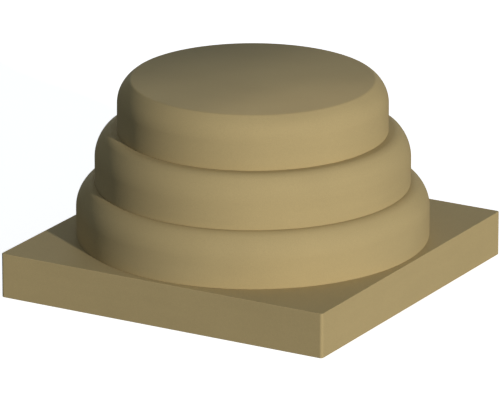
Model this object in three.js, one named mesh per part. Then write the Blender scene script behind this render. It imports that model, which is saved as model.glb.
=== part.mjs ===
// A round column base of sandstone: a square plinth and three round courses, each smaller than the one
// below, laid dry on one another. Every course has an upright band and a rounded shoulder that turns more
// tightly over the rim of its flat upper bed. The column's shaft stands on the upper bed of the top course.
// Millimetres, +Z up, the origin on the ground under the middle of the plinth, -Y the front.

import * as THREE from "three";

// The square plinth.
const PLINTH_SIDE = 600;
const PLINTH_HEIGHT = 75;
const PLINTH_CORNER_RADIUS = 5;
const PLINTH_ARRIS = 2;

// The round courses, from the plinth up, each dressed a little differently. The shoulder is an arc of
// shoulderRadius that leaves the upright band without a break. Carried on, it would meet the flat upper
// bed at an angle, rimInset in from the band. From rollStart, in degrees from upright, a tighter arc rolls
// over that rim and runs level into the bed. On the upper course the roll is short, so its rim looks crisp.
const COURSES = [
  { name: "lower_course", radius: 290, height: 89, shoulderRadius: 50, rimInset: 23.5, rollStart: 47 },
  { name: "middle_course", radius: 259, height: 88, shoulderRadius: 60, rimInset: 21, rollStart: 40 },
  { name: "upper_course", radius: 222, height: 87, shoulderRadius: 48, rimInset: 22, rollStart: 54 },
];

// The narrow chamfer round the foot of each course, which keeps its lower edge from spalling.
const FOOT_ARRIS = 1;

// How finely the round faces are cut into flats.
const FLATS_AROUND = 96;
const FLATS_ON_SHOULDER = 7;
const FLATS_ON_ROLL = 4;
const FLATS_ON_CORNER = 2;

const SANDSTONE_COLOUR = 0xb9a679;
const SANDSTONE_ROUGHNESS = 0.92;

// A finish of its own for each stone, all of the same sandstone.
function sandstone(name) {
  return new THREE.MeshStandardMaterial({
    name,
    color: SANDSTONE_COLOUR,
    roughness: SANDSTONE_ROUGHNESS,
    metalness: 0,
  });
}

// The plinth's outline, a square with its upright corners eased.
function plinthOutline() {
  const inner = PLINTH_SIDE / 2 - PLINTH_CORNER_RADIUS;
  const quarterTurn = Math.PI / 2;
  const corners = [
    [inner, -inner],
    [inner, inner],
    [-inner, inner],
    [-inner, -inner],
  ];
  const outline = new THREE.Shape();
  corners.forEach(([x, y], i) => {
    const start = (i - 1) * quarterTurn;
    outline.absarc(x, y, PLINTH_CORNER_RADIUS, start, start + quarterTurn, false);
  });
  outline.closePath();
  return outline;
}

// The plinth, with its upper and lower arrises chamfered inside its full size.
function makePlinth() {
  const geometry = new THREE.ExtrudeGeometry(plinthOutline(), {
    depth: PLINTH_HEIGHT - 2 * PLINTH_ARRIS,
    curveSegments: FLATS_ON_CORNER,
    bevelThickness: PLINTH_ARRIS,
    bevelSize: PLINTH_ARRIS,
    bevelOffset: -PLINTH_ARRIS,
    bevelSegments: 1,
  });
  geometry.translate(0, 0, PLINTH_ARRIS);
  const plinth = new THREE.Mesh(geometry, sandstone("plinth_stone"));
  plinth.name = "plinth";
  return plinth;
}

// Points on an arc round (x, z) between two angles from level, without its first point.
function arcPoints(x, z, radius, start, end, flats) {
  const points = [];
  for (let i = 1; i <= flats; i++) {
    const turn = start + ((end - start) * i) / flats;
    points.push(new THREE.Vector2(x + radius * Math.cos(turn), z + radius * Math.sin(turn)));
  }
  return points;
}

// A course's outline: from the middle of its lower bed, out round the foot, up the band, over the shoulder
// and the roll, and in to the middle of its upper bed.
function courseProfile({ radius, height, shoulderRadius, rimInset, rollStart }) {
  const bandTop = height - shoulderRadius * Math.sin(Math.acos(1 - rimInset / shoulderRadius));
  const rollTurn = THREE.MathUtils.degToRad(rollStart);
  const riseToRoll = shoulderRadius * Math.sin(rollTurn);
  const rollRadius = (height - bandTop - riseToRoll) / (1 - Math.sin(rollTurn));
  const shoulderX = radius - shoulderRadius;
  const rollX = shoulderX + (shoulderRadius - rollRadius) * Math.cos(rollTurn);
  const profile = [
    new THREE.Vector2(0, 0),
    new THREE.Vector2(radius - FOOT_ARRIS, 0),
    new THREE.Vector2(radius, FOOT_ARRIS),
    new THREE.Vector2(radius, bandTop),
  ];
  profile.push(...arcPoints(shoulderX, bandTop, shoulderRadius, 0, rollTurn, FLATS_ON_SHOULDER));
  profile.push(...arcPoints(rollX, height - rollRadius, rollRadius, rollTurn, Math.PI / 2, FLATS_ON_ROLL));
  profile.push(new THREE.Vector2(0, height));
  return profile;
}

function makeCourse(dimensions) {
  const geometry = new THREE.LatheGeometry(courseProfile(dimensions), FLATS_AROUND);
  geometry.rotateX(Math.PI / 2);
  const course = new THREE.Mesh(geometry, sandstone(`${dimensions.name}_stone`));
  course.name = dimensions.name;
  return course;
}

const columnBase = new THREE.Group();
columnBase.name = "column_base";
columnBase.add(makePlinth());

let bedHeight = PLINTH_HEIGHT;
for (const dimensions of COURSES) {
  const course = makeCourse(dimensions);
  course.position.z = bedHeight;
  columnBase.add(course);
  bedHeight += dimensions.height;
}

export default columnBase;
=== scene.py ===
import math

import bmesh
import bpy
from bpy.props import FloatProperty, FloatVectorProperty, IntProperty, PointerProperty
from mathutils import Matrix, Vector


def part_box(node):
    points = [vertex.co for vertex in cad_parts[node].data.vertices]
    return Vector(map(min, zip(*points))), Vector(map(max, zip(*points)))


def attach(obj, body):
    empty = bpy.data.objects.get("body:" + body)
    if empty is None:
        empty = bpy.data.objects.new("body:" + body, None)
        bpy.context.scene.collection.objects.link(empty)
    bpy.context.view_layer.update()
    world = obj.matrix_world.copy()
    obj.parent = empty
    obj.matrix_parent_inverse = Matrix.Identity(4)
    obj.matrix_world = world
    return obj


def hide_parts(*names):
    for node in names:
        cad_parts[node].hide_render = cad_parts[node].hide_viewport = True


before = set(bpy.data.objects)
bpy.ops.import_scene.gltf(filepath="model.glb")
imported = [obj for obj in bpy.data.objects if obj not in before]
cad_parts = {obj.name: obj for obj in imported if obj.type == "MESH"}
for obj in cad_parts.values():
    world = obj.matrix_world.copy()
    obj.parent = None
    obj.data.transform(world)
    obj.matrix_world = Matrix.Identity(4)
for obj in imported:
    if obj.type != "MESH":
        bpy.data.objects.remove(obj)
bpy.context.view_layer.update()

bl_info = {
    "name": "Stepped column base",
    "version": (1, 0, 0),
    "blender": (4, 5, 0),
    "location": "3D View > Sidebar > Column base",
    "description": "Models the stones of a stepped column base and sets them in a studio",
    "category": "Object",
}

# The stones, from the ground up, by the names of the solids that they stand for.
PLINTH = "plinth"
COURSES = ("lower_course", "middle_course", "upper_course")
BODY = "root"

# The width of the camera's sensor, in millimetres.
SENSOR_WIDTH = 36.0

# How far off the even lights stand. It doesn't change their light.
LIGHT_DISTANCE = 6.0

# The card that shades the upper bed, in metres.
FLAG_WIDTH = 0.7
FLAG_HEIGHT = 0.25

# The pool of light, in metres and radians. Its middle lies POOL_PLACE radii of the upper course from the
# axis, towards the key light, and it is POOL_WIDENING times wider than it would be as a round beam.
POOL_PLACE = 1.35
POOL_ELEVATION = math.radians(40.0)
POOL_DISTANCE = 1.5
POOL_SPREAD = math.radians(16.0)
POOL_WIDENING = 2.0
POOL_SOFT_SIZE = 0.05

# The low light behind the stones, in radians.
BACK_AZIMUTH = math.radians(210.0)
BACK_ELEVATION = math.radians(4.0)
BACK_SOFTNESS = math.radians(20.0)

# How far apart in the quarry the blocks for the stones lay, in metres, so that no two carry the same grain.
BLOCK_SHIFT = Vector((1.7, 2.3, 3.1))

# The patterns in the sandstone: their sizes in metres, and how many finer layers each one is built from.
MOTTLE_SIZE = 0.11
MOTTLE_DETAIL = 3.0
BEDDING_SIZE = 0.16
BEDDING_DETAIL = 2.0
GRAIN_DETAIL = 2.0

# How many times thinner than wide the layers of the bedding are.
BEDDING_FLATNESS = 9.0

# A noise pattern runs from 0 to 1, but keeps between these two nearly everywhere.
PATTERN_LOW = 0.25
PATTERN_HIGH = 0.75

# How the stone's surface takes the light, rougher where the grains stand out.
LEAST_ROUGHNESS = 0.84
MOST_ROUGHNESS = 1.0
SPECULAR_LEVEL = 0.2

# The floor, wide enough to have no edge in the picture.
FLOOR_RADIUS = 40.0
FLOOR_STEPS = 96
FLOOR_COLOUR = (0.9, 0.9, 0.9, 1.0)

# Two heights or radii closer than SAME_HEIGHT, in metres, count as the same. So do two normals whose rises
# differ by less than SAME_SLOPE.
SAME_HEIGHT = 1e-5
SAME_SLOPE = 1e-3

# The profile of a bevel that follows an arc of a circle.
ROUND_PROFILE = 0.5

# How strongly the larger of two faces governs the shading at their edge. At the most, flat faces stay flat.
LARGE_FACE_WEIGHT = 100


class StoneSizes(bpy.types.PropertyGroup):
    """The sizes that the mason works to, apart from those that the frame gives."""

    shoulder_radii: FloatVectorProperty(
        name="Shoulder radii",
        description="Radius of the arc that rounds the top of each course, from the lowest course up",
        default=(0.050, 0.060, 0.048),
        size=3,
        min=0.005,
        unit="LENGTH",
    )
    rim_insets: FloatVectorProperty(
        name="Rim insets",
        description="How far in from its band each shoulder would meet the flat bed without its roll",
        default=(0.0235, 0.021, 0.022),
        size=3,
        min=0.001,
        unit="LENGTH",
    )
    roll_starts: FloatVectorProperty(
        name="Roll starts",
        description="How far from upright each shoulder turns before the tighter roll over its rim",
        default=(math.radians(47.0), math.radians(40.0), math.radians(54.0)),
        size=3,
        min=0.0,
        max=math.pi / 2,
        unit="ROTATION",
    )
    foot_arris: FloatProperty(
        name="Foot arris",
        description="Width taken off the lower edge of each course",
        default=0.0008,
        min=0.0001,
        unit="LENGTH",
        subtype="DISTANCE",
    )
    plinth_corner: FloatProperty(
        name="Plinth corner",
        description="Width taken off the upright corners of the plinth",
        default=0.005,
        min=0.0001,
        unit="LENGTH",
        subtype="DISTANCE",
    )
    plinth_arris: FloatProperty(
        name="Plinth arris",
        description="Width taken off the upper and lower edges of the plinth",
        default=0.0012,
        min=0.0001,
        unit="LENGTH",
        subtype="DISTANCE",
    )
    steps_round: IntProperty(
        name="Steps round",
        description="Steps round the axis in each course",
        default=256,
        min=32,
    )
    steps_on_shoulder: IntProperty(
        name="Steps on the shoulder",
        description="Steps up the arc of each shoulder, and again over the roll above it",
        default=16,
        min=4,
    )
    steps_on_arris: IntProperty(
        name="Steps on an arris",
        description="Steps across each softened edge",
        default=5,
        min=1,
    )


class StoneFinish(bpy.types.PropertyGroup):
    """The colours and grain of the sandstone."""

    body_colour: FloatVectorProperty(
        name="Body colour",
        description="Main colour of the sandstone",
        default=(0.460, 0.363, 0.184),
        subtype="COLOR",
        size=3,
        min=0.0,
        max=1.0,
    )
    mottling: FloatProperty(
        name="Mottling",
        description="How far the broad clouds in the stone lighten and darken it",
        default=0.03,
        min=0.0,
        max=1.0,
        subtype="FACTOR",
    )
    grain_contrast: FloatProperty(
        name="Grain contrast",
        description="How far single grains of sand lighten and darken the stone",
        default=0.06,
        min=0.0,
        max=1.0,
        subtype="FACTOR",
    )
    bedding_contrast: FloatProperty(
        name="Bedding contrast",
        description="How far the level layers of the stone lighten and darken it",
        default=0.015,
        min=0.0,
        max=1.0,
        subtype="FACTOR",
    )
    grain_size: FloatProperty(
        name="Grain size",
        description="Size of the grains of sand",
        default=0.0014,
        min=0.0001,
        unit="LENGTH",
        subtype="DISTANCE",
    )
    grain_height: FloatProperty(
        name="Grain height",
        description="How far the grains stand out of the rubbed surface",
        default=0.00012,
        min=0.0,
        unit="LENGTH",
        subtype="DISTANCE",
    )


class StudioSetting(bpy.types.PropertyGroup):
    """The camera and lights of the picture."""

    camera_azimuth: FloatProperty(
        name="Camera azimuth",
        description="How far round to the right of the front the camera stands",
        default=math.radians(30.017),
        subtype="ANGLE",
        unit="ROTATION",
    )
    camera_elevation: FloatProperty(
        name="Camera elevation",
        description="How far the camera looks down",
        default=math.radians(18.222),
        subtype="ANGLE",
        unit="ROTATION",
    )
    camera_distance: FloatProperty(
        name="Camera distance",
        description="From the camera to the middle of the plinth's underside, along the view",
        default=10.384,
        unit="LENGTH",
        subtype="DISTANCE",
    )
    camera_lens: FloatProperty(
        name="Camera lens",
        description="Focal length on a sensor 36 mm wide, in millimetres",
        default=454.2,
    )
    camera_rise: FloatProperty(
        name="Camera rise",
        description="How far the view's middle stands above the middle of the plinth's underside",
        default=0.1237,
        unit="LENGTH",
        subtype="DISTANCE",
    )
    camera_side: FloatProperty(
        name="Camera side shift",
        description="How far the view's middle stands to the right of the middle of the plinth",
        default=-0.0047,
        unit="LENGTH",
        subtype="DISTANCE",
    )
    key_azimuth: FloatProperty(
        name="Key light azimuth",
        description="How far round to the right of the front the key light stands",
        default=math.radians(60.0),
        subtype="ANGLE",
        unit="ROTATION",
    )
    key_elevation: FloatProperty(
        name="Key light elevation",
        description="How high the key light stands",
        default=math.radians(13.0),
        subtype="ANGLE",
        unit="ROTATION",
    )
    key_strength: FloatProperty(
        name="Key light strength",
        description="Strength of the key light, in watts on a square metre that faces it",
        default=2.70,
        min=0.0,
    )
    key_softness: FloatProperty(
        name="Key light softness",
        description="How wide the key light looks from the stones",
        default=math.radians(2.2),
        subtype="ANGLE",
        unit="ROTATION",
    )
    key_colour: FloatVectorProperty(
        name="Key light colour",
        description="Colour of the key light",
        default=(1.0, 0.95, 0.86),
        subtype="COLOR",
        size=3,
        min=0.0,
        max=1.0,
    )
    flag_distance: FloatProperty(
        name="Flag distance",
        description="How far from the stones the card stands that shades the back of the upper bed",
        default=1.38,
        unit="LENGTH",
        subtype="DISTANCE",
    )
    flag_rise: FloatProperty(
        name="Flag rise",
        description="Height of the card's lower edge, square to the key light",
        default=0.3545,
        unit="LENGTH",
        subtype="DISTANCE",
    )
    pool_strength: FloatProperty(
        name="Pool strength",
        description="Power of the soft pool of light on the front of the upper bed, in watts",
        default=23.0,
        min=0.0,
    )
    pool_colour: FloatVectorProperty(
        name="Pool colour",
        description="Colour of the soft pool of light",
        default=(1.0, 0.87, 0.72),
        subtype="COLOR",
        size=3,
        min=0.0,
        max=1.0,
    )
    back_strength: FloatProperty(
        name="Back light strength",
        description="Strength of the low light behind, in watts on a square metre that faces it",
        default=0.9,
        min=0.0,
    )
    sky_strength: FloatProperty(
        name="Sky strength",
        description="Strength of the soft light from above",
        default=0.26,
        min=0.0,
    )
    ground_strength: FloatProperty(
        name="Ground strength",
        description="Strength of the soft light from below",
        default=0.05,
        min=0.0,
    )
    soft_colour: FloatVectorProperty(
        name="Soft light colour",
        description="Colour of the soft light from all round",
        default=(0.83, 0.92, 1.0),
        subtype="COLOR",
        size=3,
        min=0.0,
        max=1.0,
    )
    floor_glow: FloatProperty(
        name="Floor glow",
        description="How far the floor's own light lifts it towards white",
        default=0.80,
        min=0.0,
    )


def link_value(tree, source, target):
    """Joins two sockets of a node tree."""
    tree.links.new(source, target)


def mapped_coordinates(tree, shift, stretch=(1.0, 1.0, 1.0)):
    """Object coordinates in metres, stretched, and then shifted so that each stone has a grain of its own."""
    coordinates = tree.nodes.new("ShaderNodeTexCoord")
    mapping = tree.nodes.new("ShaderNodeMapping")
    mapping.inputs["Location"].default_value = shift
    mapping.inputs["Scale"].default_value = stretch
    link_value(tree, coordinates.outputs["Object"], mapping.inputs["Vector"])
    return mapping.outputs["Vector"]


def cloud(tree, vector, feature_size, detail):
    """A cloudy pattern from 0 to 1 whose clouds are feature_size metres across."""
    noise = tree.nodes.new("ShaderNodeTexNoise")
    noise.inputs["Scale"].default_value = 1.0 / feature_size
    noise.inputs["Detail"].default_value = detail
    link_value(tree, vector, noise.inputs["Vector"])
    return noise.outputs["Fac"]


def around(tree, pattern, reach):
    """Turns a pattern that runs from 0 to 1 into a factor that runs reach either side of 1."""
    spread = tree.nodes.new("ShaderNodeMapRange")
    spread.inputs["From Min"].default_value = PATTERN_LOW
    spread.inputs["From Max"].default_value = PATTERN_HIGH
    spread.inputs["To Min"].default_value = 1.0 - reach
    spread.inputs["To Max"].default_value = 1.0 + reach
    link_value(tree, pattern, spread.inputs["Value"])
    return spread.outputs["Result"]


def product(tree, first, second):
    """Two factors multiplied."""
    multiply = tree.nodes.new("ShaderNodeMath")
    multiply.operation = "MULTIPLY"
    link_value(tree, first, multiply.inputs[0])
    link_value(tree, second, multiply.inputs[1])
    return multiply.outputs["Value"]


def sandstone(name, finish, shift):
    """Rubbed sandstone: broad clouds, faint level bedding and single grains, in colour and in relief."""
    material = bpy.data.materials.new(name)
    material.use_nodes = True
    tree = material.node_tree
    shader = tree.nodes["Principled BSDF"]
    plain = mapped_coordinates(tree, shift)
    level = mapped_coordinates(tree, shift, (1.0, 1.0, BEDDING_FLATNESS))
    mottle = around(tree, cloud(tree, plain, MOTTLE_SIZE, MOTTLE_DETAIL), finish.mottling)
    bedding = around(tree, cloud(tree, level, BEDDING_SIZE, BEDDING_DETAIL), finish.bedding_contrast)
    grains = cloud(tree, plain, finish.grain_size, GRAIN_DETAIL)
    speckle = around(tree, grains, finish.grain_contrast)
    tone = product(tree, product(tree, mottle, bedding), speckle)
    scale = tree.nodes.new("ShaderNodeVectorMath")
    scale.operation = "SCALE"
    scale.inputs[0].default_value = finish.body_colour
    link_value(tree, tone, scale.inputs["Scale"])
    link_value(tree, scale.outputs["Vector"], shader.inputs["Base Color"])
    roughness = tree.nodes.new("ShaderNodeMapRange")
    roughness.inputs["To Min"].default_value = LEAST_ROUGHNESS
    roughness.inputs["To Max"].default_value = MOST_ROUGHNESS
    link_value(tree, grains, roughness.inputs["Value"])
    link_value(tree, roughness.outputs["Result"], shader.inputs["Roughness"])
    relief = tree.nodes.new("ShaderNodeBump")
    relief.inputs["Strength"].default_value = 1.0
    relief.inputs["Distance"].default_value = finish.grain_height
    link_value(tree, grains, relief.inputs["Height"])
    link_value(tree, relief.outputs["Normal"], shader.inputs["Normal"])
    shader.inputs["Specular IOR Level"].default_value = SPECULAR_LEVEL
    return material


def finished_piece(work, name, node, material):
    """Turns a finished bmesh into a stone that stands for a solid of the frame."""
    bmesh.ops.remove_doubles(work, verts=work.verts, dist=SAME_HEIGHT)
    bmesh.ops.recalc_face_normals(work, faces=work.faces)
    for face in work.faces:
        face.smooth = True
    mesh = bpy.data.meshes.new(name)
    work.to_mesh(mesh)
    work.free()
    mesh.materials.append(material)
    piece = bpy.data.objects.new(name, mesh)
    bpy.context.scene.collection.objects.link(piece)
    weighted = piece.modifiers.new("Flat faces stay flat", "WEIGHTED_NORMAL")
    weighted.weight = LARGE_FACE_WEIGHT
    weighted.keep_sharp = True
    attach(piece, BODY)
    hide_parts(node)
    return piece


def soften(work, edges, width, steps):
    """Rounds off a set of edges."""
    bmesh.ops.bevel(
        work,
        geom=edges,
        offset=width,
        offset_type="OFFSET",
        segments=steps,
        profile=ROUND_PROFILE,
        affect="EDGES",
        clamp_overlap=True,
        material=-1,
    )


def model_plinth(sizes, material):
    """The square slab, its upright corners and then its upper and lower edges softened."""
    low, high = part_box(PLINTH)
    work = bmesh.new()
    bmesh.ops.create_cube(work, size=1.0)
    bmesh.ops.scale(work, vec=high - low, verts=work.verts)
    bmesh.ops.translate(work, vec=(low + high) / 2, verts=work.verts)
    upright = [e for e in work.edges if abs(e.verts[0].co.z - e.verts[1].co.z) > SAME_HEIGHT]
    soften(work, upright, sizes.plinth_corner, sizes.steps_on_arris)
    level = []
    for edge in work.edges:
        heights = [v.co.z for v in edge.verts]
        at_top = all(abs(z - high.z) < SAME_HEIGHT for z in heights)
        at_foot = all(abs(z - low.z) < SAME_HEIGHT for z in heights)
        slopes = [f.normal.z for f in edge.link_faces]
        on_outline = max(slopes) - min(slopes) > SAME_SLOPE
        if (at_top or at_foot) and on_outline:
            level.append(edge)
    soften(work, level, sizes.plinth_arris, sizes.steps_on_arris)
    return finished_piece(work, "plinth_stone_block", PLINTH, material)


def ring_edges(work, height, radius):
    """The edges that run round the axis at this height and radius."""
    found = []
    for edge in work.edges:
        on_ring = all(
            abs(v.co.z - height) < SAME_HEIGHT and abs(v.co.xy.length - radius) < SAME_HEIGHT
            for v in edge.verts
        )
        if on_ring:
            found.append(edge)
    return found


def spin_outline(work, start, centre_x, centre_z, angle, steps):
    """Carries a half outline on from a vertex, inwards round a centre, and gives its last vertex."""
    spun = bmesh.ops.spin(
        work,
        geom=[start],
        cent=(centre_x, 0.0, centre_z),
        axis=(0.0, -1.0, 0.0),
        angle=angle,
        steps=steps,
        use_merge=False,
    )
    return next(v for v in spun["geom_last"] if isinstance(v, bmesh.types.BMVert))


def model_course(count, sizes, material):
    """A round course: half its outline, with its shoulder and roll spun on, is spun round the axis."""
    node = COURSES[count]
    low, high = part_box(node)
    radius = high.x
    shoulder_radius = sizes.shoulder_radii[count]
    roll_start = sizes.roll_starts[count]
    # Without its roll, the shoulder would turn through this sweep before it met the flat bed.
    sweep = math.acos(1.0 - sizes.rim_insets[count] / shoulder_radius)
    band_top = high.z - shoulder_radius * math.sin(sweep)
    rise_to_roll = shoulder_radius * math.sin(roll_start)
    roll_radius = (high.z - band_top - rise_to_roll) / (1.0 - math.sin(roll_start))
    shoulder_x = radius - shoulder_radius
    roll_x = shoulder_x + (shoulder_radius - roll_radius) * math.cos(roll_start)
    work = bmesh.new()
    axis_foot = work.verts.new((0.0, 0.0, low.z))
    foot = work.verts.new((radius, 0.0, low.z))
    shoulder_start = work.verts.new((radius, 0.0, band_top))
    work.edges.new((axis_foot, foot))
    work.edges.new((foot, shoulder_start))
    steps = sizes.steps_on_shoulder
    shoulder_end = spin_outline(work, shoulder_start, shoulder_x, band_top, roll_start, steps)
    roll_turn = math.pi / 2 - roll_start
    roll_end = spin_outline(work, shoulder_end, roll_x, high.z - roll_radius, roll_turn, steps)
    roll_end.co.z = high.z
    axis_top = work.verts.new((0.0, 0.0, high.z))
    work.edges.new((roll_end, axis_top))
    bmesh.ops.spin(
        work,
        geom=work.verts[:] + work.edges[:],
        cent=(0.0, 0.0, 0.0),
        axis=(0.0, 0.0, 1.0),
        angle=math.tau,
        steps=sizes.steps_round,
        use_merge=True,
    )
    bmesh.ops.remove_doubles(work, verts=work.verts, dist=SAME_HEIGHT)
    bmesh.ops.recalc_face_normals(work, faces=work.faces)
    foot_edges = ring_edges(work, low.z, radius)
    soften(work, foot_edges, sizes.foot_arris, sizes.steps_on_arris)
    return finished_piece(work, f"{node}_stone_block", node, material)


class COLUMNBASE_OT_plinth(bpy.types.Operator):
    """Model the square plinth in rubbed sandstone"""

    bl_idname = "column_base.plinth"
    bl_label = "Plinth"

    def execute(self, context):
        finish = context.scene.column_base_finish
        material = sandstone("plinth sandstone", finish, Vector((0.0, 0.0, 0.0)))
        model_plinth(context.scene.column_base_sizes, material)
        return {"FINISHED"}


class COLUMNBASE_OT_courses(bpy.types.Operator):
    """Model the round courses in rubbed sandstone, each from a block of its own"""

    bl_idname = "column_base.courses"
    bl_label = "Round courses"

    def execute(self, context):
        finish = context.scene.column_base_finish
        for count, node in enumerate(COURSES):
            plain_name = node.replace("_", " ")
            shift = BLOCK_SHIFT * (count + 1)
            material = sandstone(f"{plain_name} sandstone", finish, shift)
            model_course(count, context.scene.column_base_sizes, material)
        return {"FINISHED"}


def direction_from(azimuth, elevation):
    """The way from the stones to something at this azimuth and elevation."""
    level = math.cos(elevation)
    return Vector((math.sin(azimuth) * level, -math.cos(azimuth) * level, math.sin(elevation)))


def right_from(azimuth):
    """The level way to the right of someone who looks at the stones from this azimuth."""
    return Vector((math.cos(azimuth), math.sin(azimuth), 0.0))


def add_camera(studio):
    """The camera, at the photograph's angle and framing."""
    back = direction_from(studio.camera_azimuth, studio.camera_elevation)
    right = right_from(studio.camera_azimuth)
    up = back.cross(right)
    place = back * studio.camera_distance + right * studio.camera_side + up * studio.camera_rise
    lens = bpy.data.cameras.new("picture camera")
    lens.sensor_fit = "HORIZONTAL"
    lens.sensor_width = SENSOR_WIDTH
    lens.lens = studio.camera_lens
    camera = bpy.data.objects.new("picture camera", lens)
    turn = Matrix((right, up, back)).transposed().to_4x4()
    camera.matrix_world = Matrix.Translation(place) @ turn
    bpy.context.scene.collection.objects.link(camera)
    bpy.context.scene.camera = camera


def add_distant_light(name, azimuth, elevation, strength, softness, colour):
    """An even light from far off."""
    towards = direction_from(azimuth, elevation)
    lamp = bpy.data.lights.new(name, "SUN")
    lamp.energy = strength
    lamp.color = colour
    lamp.angle = softness
    light = bpy.data.objects.new(name, lamp)
    light.location = towards * LIGHT_DISTANCE
    light.rotation_euler = towards.to_track_quat("Z", "Y").to_euler()
    bpy.context.scene.collection.objects.link(light)


def add_flag(studio):
    """A card in front of the key light. Its soft shadow deepens from the upper bed's middle to its back."""
    towards = direction_from(studio.key_azimuth, studio.key_elevation)
    right = right_from(studio.key_azimuth)
    up = towards.cross(right)
    work = bmesh.new()
    # A square of one metre, scaled to the card and raised so that its lower edge lies on the middle.
    bmesh.ops.create_grid(work, x_segments=1, y_segments=1, size=0.5)
    bmesh.ops.scale(work, vec=(FLAG_WIDTH, FLAG_HEIGHT, 1.0), verts=work.verts)
    bmesh.ops.translate(work, vec=(0.0, FLAG_HEIGHT / 2, 0.0), verts=work.verts)
    turn = Matrix((right, up, towards)).transposed()
    bmesh.ops.rotate(work, cent=(0.0, 0.0, 0.0), matrix=turn, verts=work.verts)
    place = towards * studio.flag_distance + up * studio.flag_rise
    bmesh.ops.translate(work, vec=place, verts=work.verts)
    mesh = bpy.data.meshes.new("flag")
    work.to_mesh(mesh)
    work.free()
    flag = bpy.data.objects.new("flag", mesh)
    flag.visible_camera = False
    flag.visible_diffuse = False
    flag.visible_glossy = False
    bpy.context.scene.collection.objects.link(flag)


def add_pool(studio):
    """A wide soft pool of light from behind, on the front of the upper bed. Front walls stay out of it."""
    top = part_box(COURSES[-1])[1]
    nearer = direction_from(studio.key_azimuth, 0.0)
    target = nearer * top.x * POOL_PLACE + Vector((0.0, 0.0, top.z))
    towards = direction_from(studio.key_azimuth + math.pi, POOL_ELEVATION)
    lamp = bpy.data.lights.new("pool light", "SPOT")
    lamp.energy = studio.pool_strength
    lamp.color = studio.pool_colour
    lamp.shadow_soft_size = POOL_SOFT_SIZE
    lamp.spot_size = POOL_SPREAD
    lamp.spot_blend = 1.0
    light = bpy.data.objects.new("pool light", lamp)
    light.location = target + towards * POOL_DISTANCE
    light.rotation_euler = towards.to_track_quat("Z", "Y").to_euler()
    light.scale.x = POOL_WIDENING
    bpy.context.scene.collection.objects.link(light)


def add_soft_light(studio):
    """Soft light from all round, stronger from above than from below."""
    world = bpy.data.worlds.new("soft light")
    world.use_nodes = True
    tree = world.node_tree
    background = tree.nodes["Background"]
    coordinates = tree.nodes.new("ShaderNodeTexCoord")
    split = tree.nodes.new("ShaderNodeSeparateXYZ")
    # The rise of a direction runs from -1, straight down, to 1, straight up.
    blend = tree.nodes.new("ShaderNodeMapRange")
    blend.inputs["From Min"].default_value = -1.0
    blend.inputs["From Max"].default_value = 1.0
    blend.inputs["To Min"].default_value = studio.ground_strength
    blend.inputs["To Max"].default_value = studio.sky_strength
    link_value(tree, coordinates.outputs["Generated"], split.inputs["Vector"])
    link_value(tree, split.outputs["Z"], blend.inputs["Value"])
    link_value(tree, blend.outputs["Result"], background.inputs["Strength"])
    background.inputs["Color"].default_value = (*studio.soft_colour, 1.0)
    bpy.context.scene.world = world


def add_floor(studio):
    """A plain pale floor. It sends no light back up, so that the shaded sides of the stones stay dark."""
    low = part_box(PLINTH)[0]
    work = bmesh.new()
    bmesh.ops.create_circle(work, cap_ends=True, radius=FLOOR_RADIUS, segments=FLOOR_STEPS)
    bmesh.ops.translate(work, vec=(0.0, 0.0, low.z), verts=work.verts)
    mesh = bpy.data.meshes.new("floor")
    work.to_mesh(mesh)
    work.free()
    material = bpy.data.materials.new("pale floor")
    material.use_nodes = True
    shader = material.node_tree.nodes["Principled BSDF"]
    shader.inputs["Base Color"].default_value = FLOOR_COLOUR
    shader.inputs["Roughness"].default_value = 1.0
    shader.inputs["Specular IOR Level"].default_value = 0.0
    shader.inputs["Emission Color"].default_value = (1.0, 1.0, 1.0, 1.0)
    shader.inputs["Emission Strength"].default_value = studio.floor_glow
    mesh.materials.append(material)
    floor = bpy.data.objects.new("floor", mesh)
    floor.visible_diffuse = False
    floor.visible_glossy = False
    bpy.context.scene.collection.objects.link(floor)


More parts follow.
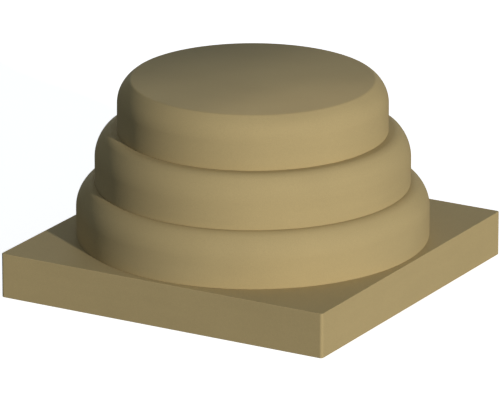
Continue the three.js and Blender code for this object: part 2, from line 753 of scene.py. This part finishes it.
class COLUMNBASE_OT_stage(bpy.types.Operator):
    """Set the stones in a plain studio, with the camera at the picture's angle"""

    bl_idname = "column_base.stage"
    bl_label = "Studio"

    def execute(self, context):
        studio = context.scene.column_base_studio
        context.scene.view_settings.view_transform = "Standard"
        add_camera(studio)
        add_distant_light(
            "key light",
            studio.key_azimuth,
            studio.key_elevation,
            studio.key_strength,
            studio.key_softness,
            studio.key_colour,
        )
        add_distant_light(
            "back light",
            BACK_AZIMUTH,
            BACK_ELEVATION,
            studio.back_strength,
            BACK_SOFTNESS,
            studio.soft_colour,
        )
        add_flag(studio)
        add_pool(studio)
        add_soft_light(studio)
        add_floor(studio)
        return {"FINISHED"}


class COLUMNBASE_PT_panel(bpy.types.Panel):
    """Lists the stones and the studio in the sidebar"""

    bl_idname = "COLUMNBASE_PT_panel"
    bl_label = "Column base"
    bl_space_type = "VIEW_3D"
    bl_region_type = "UI"
    bl_category = "Column base"

    def draw(self, context):
        layout = self.layout
        for name in ("column_base_sizes", "column_base_finish", "column_base_studio"):
            group = getattr(context.scene, name)
            box = layout.box()
            for key in group.__annotations__:
                box.prop(group, key)
        for operator in OPERATORS:
            layout.operator(operator.bl_idname)


OPERATORS = (COLUMNBASE_OT_plinth, COLUMNBASE_OT_courses, COLUMNBASE_OT_stage)
CLASSES = (StoneSizes, StoneFinish, StudioSetting, *OPERATORS, COLUMNBASE_PT_panel)


def register():
    for cls in CLASSES:
        bpy.utils.register_class(cls)
    bpy.types.Scene.column_base_sizes = PointerProperty(type=StoneSizes)
    bpy.types.Scene.column_base_finish = PointerProperty(type=StoneFinish)
    bpy.types.Scene.column_base_studio = PointerProperty(type=StudioSetting)


def unregister():
    del bpy.types.Scene.column_base_studio
    del bpy.types.Scene.column_base_finish
    del bpy.types.Scene.column_base_sizes
    for cls in reversed(CLASSES):
        bpy.utils.unregister_class(cls)


def main():
    """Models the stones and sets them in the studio."""
    register()
    bpy.ops.column_base.plinth()
    bpy.ops.column_base.courses()
    bpy.ops.column_base.stage()


if __name__ == "__main__":
    main()
